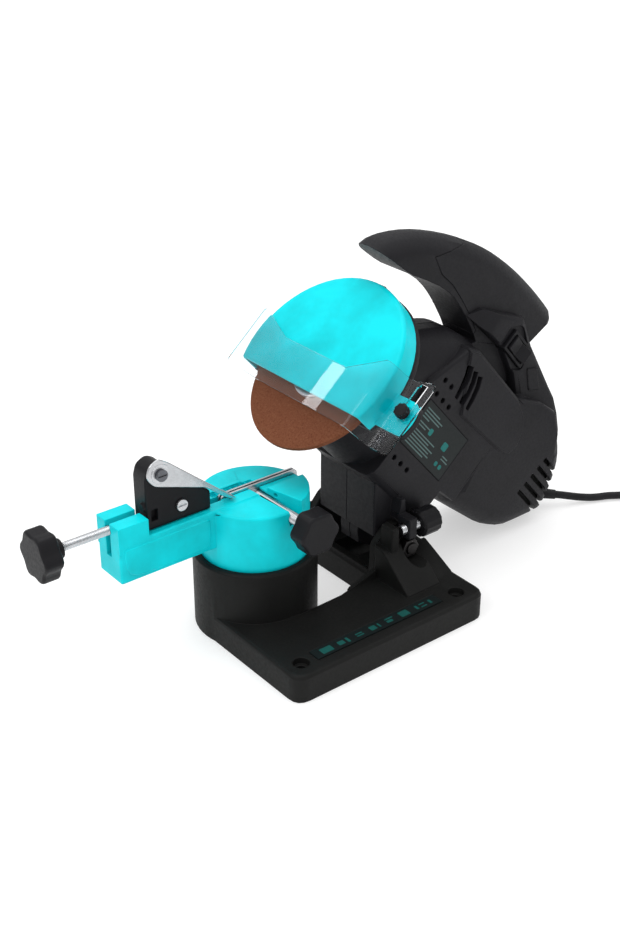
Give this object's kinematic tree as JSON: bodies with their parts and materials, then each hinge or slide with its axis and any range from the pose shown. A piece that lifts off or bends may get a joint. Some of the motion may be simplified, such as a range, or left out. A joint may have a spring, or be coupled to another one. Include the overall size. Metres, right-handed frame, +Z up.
{
  "type": "bench chain sharpener",
  "caption": "Bench electric saw-chain sharpener with tilting motor head, guarded grinding wheel, swivelling chain clamp, feed screw and clear shield",
  "frame": {"origin": "on the ground, in the base underside, below the middle of the head hinge", "axes": "+Z up, -Y toward the operator, +X to the operator right"},
  "size_m": [0.232, 0.6095, 0.2506],
  "materials": {
    "black_plastic": "moulded, fine grain",
    "knob_plastic": "moulded, smooth",
    "cyan_plastic": "moulded, satin",
    "bright_steel": "zinc plated",
    "dark_steel": "oiled",
    "copper": "machined segments",
    "abrasive": "vitrified grit",
    "clear_sheet": "clear polycarbonate",
    "label_film": "printed film, left blank",
    "carbon": "carbon block",
    "cord_rubber": "extruded jacket"
  },
  "bodies": {
    "stand": {"base": "black_plastic", "base_label": "label_film", "hinge_bolt": "bright_steel", "hinge_nut": "bright_steel", "hinge_washer": "bright_steel", "torsion_spring": "dark_steel", "power_cord": "cord_rubber", "cord_coil": "cord_rubber", "cord_plug": "cord_rubber"},
    "chain_turret": {"turret": "cyan_plastic", "turret_pivot_bolt": "bright_steel", "vise_plate_left": "bright_steel"},
    "lock_nut": {"turret_lock_nut": "knob_plastic"},
    "jaw": {"vise_plate_right": "bright_steel"},
    "clamp_handle": {"clamp_screw": "bright_steel", "clamp_knob": "knob_plastic"},
    "feed_carriage": {"carriage": "knob_plastic", "pawl_screw": "dark_steel", "guide_screw": "bright_steel"},
    "feed_handle": {"feed_screw": "bright_steel", "feed_knob": "knob_plastic"},
    "pawl_arm": {"pawl": "bright_steel"},
    "head": {"housing_left": "black_plastic", "housing_right": "black_plastic", "handle_cover": "black_plastic", "housing_screw_1": "dark_steel", "housing_screw_2": "dark_steel", "housing_screw_3": "dark_steel", "housing_screw_4": "dark_steel", "motor_label": "label_film", "bearing_front": "bright_steel", "bearing_rear": "bright_steel", "stator": "dark_steel", "brush_left": "carbon", "brush_right": "carbon", "guard_cover": "cyan_plastic", "guard_clip": "knob_plastic", "guard_back": "black_plastic", "switch_body": "knob_plastic", "strain_relief": "cord_rubber"},
    "spindle": {"rotor_shaft": "bright_steel", "fan": "black_plastic", "armature": "dark_steel", "commutator": "copper", "wheel": "abrasive", "flange_inner": "bright_steel", "flange_outer": "bright_steel", "wheel_nut": "bright_steel"},
    "eye_shield": {"shield": "clear_sheet"},
    "shield_fastener": {"shield_knob": "knob_plastic"},
    "rocker": {"switch_rocker": "knob_plastic"},
    "depth_screw": {"stop_screw": "bright_steel"},
    "depth_knob": {"stop_knob": "knob_plastic"}
  },
  "joints": [
    {"name": "head_tilt", "type": "hinge", "parent": "stand", "child": "head", "pos_m": [0, 0, 0.039], "axis": [1, 0, 0], "range_deg": [0, 13], "stiffness_Nm_per_rad": 5, "springref_deg": -12.03},
    {"name": "wheel_spin", "type": "hinge", "parent": "head", "child": "spindle", "pos_m": [0, -0.0421, 0.1628], "axis": [0, 0.66, -0.7513], "continuous": true},
    {"name": "turret_swivel", "type": "hinge", "parent": "stand", "child": "chain_turret", "pos_m": [0, -0.098, 0.057], "axis": [0, 0, 1], "range_deg": [-35, 35]},
    {"name": "lock_nut_turn", "type": "hinge", "parent": "chain_turret", "child": "lock_nut", "pos_m": [0, -0.098, 0.005], "axis": [0, 0, 1], "range_deg": [0, 90]},
    {"name": "jaw_slide", "type": "slide", "parent": "chain_turret", "child": "jaw", "axis": [-1, 0, 0], "range_m": [0, 0.0012]},
    {"name": "clamp_turn", "type": "hinge", "parent": "jaw", "child": "clamp_handle", "pos_m": [0.058, -0.093, 0.091], "axis": [-1, 0, 0], "range_deg": [0, 346]},
    {"name": "feed_slide", "type": "slide", "parent": "chain_turret", "child": "feed_carriage", "axis": [0, 1, 0], "range_m": [-0.0015, 0.01]},
    {"name": "feed_turn", "type": "hinge", "parent": "feed_carriage", "child": "feed_handle", "pos_m": [-0.005, -0.248, 0.104], "axis": [0, 1, 0], "range_deg": [-540, 3600]},
    {"name": "pawl_flip", "type": "hinge", "parent": "feed_carriage", "child": "pawl_arm", "pos_m": [0.0041, -0.172, 0.136], "axis": [1, 0, 0], "range_deg": [0, 70]},
    {"name": "shield_slide", "type": "slide", "parent": "head", "child": "eye_shield", "axis": [0, 0.7513, 0.66], "range_m": [-0.02, 0.0015]},
    {"name": "shield_knob_turn", "type": "hinge", "parent": "head", "child": "shield_fastener", "pos_m": [0.08, -0.04305, 0.16995], "axis": [0, 0.66, -0.7513], "range_deg": [0, 360]},
    {"name": "switch_rock", "type": "hinge", "parent": "head", "child": "rocker", "pos_m": [0.023, 0.11926, 0.14882], "axis": [0, 0.7513, 0.66], "range_deg": [0, 6]},
    {"name": "stop_travel", "type": "slide", "parent": "head", "child": "depth_screw", "axis": [0, 1, 0], "range_m": [0, 0.005]},
    {"name": "stop_turn", "type": "hinge", "parent": "depth_screw", "child": "depth_knob", "pos_m": [0.0452, 0.015, 0.054], "axis": [0, -1, 0], "range_deg": [0, 1440]}
  ],
  "couplings": [
    {"joint": "clamp_turn", "follows": "jaw_slide", "rad_per_m": 5026.5},
    {"joint": "feed_turn", "follows": "feed_slide", "rad_per_m": 6283.2},
    {"joint": "stop_turn", "follows": "stop_travel", "rad_per_m": 5026.5}
  ]
}
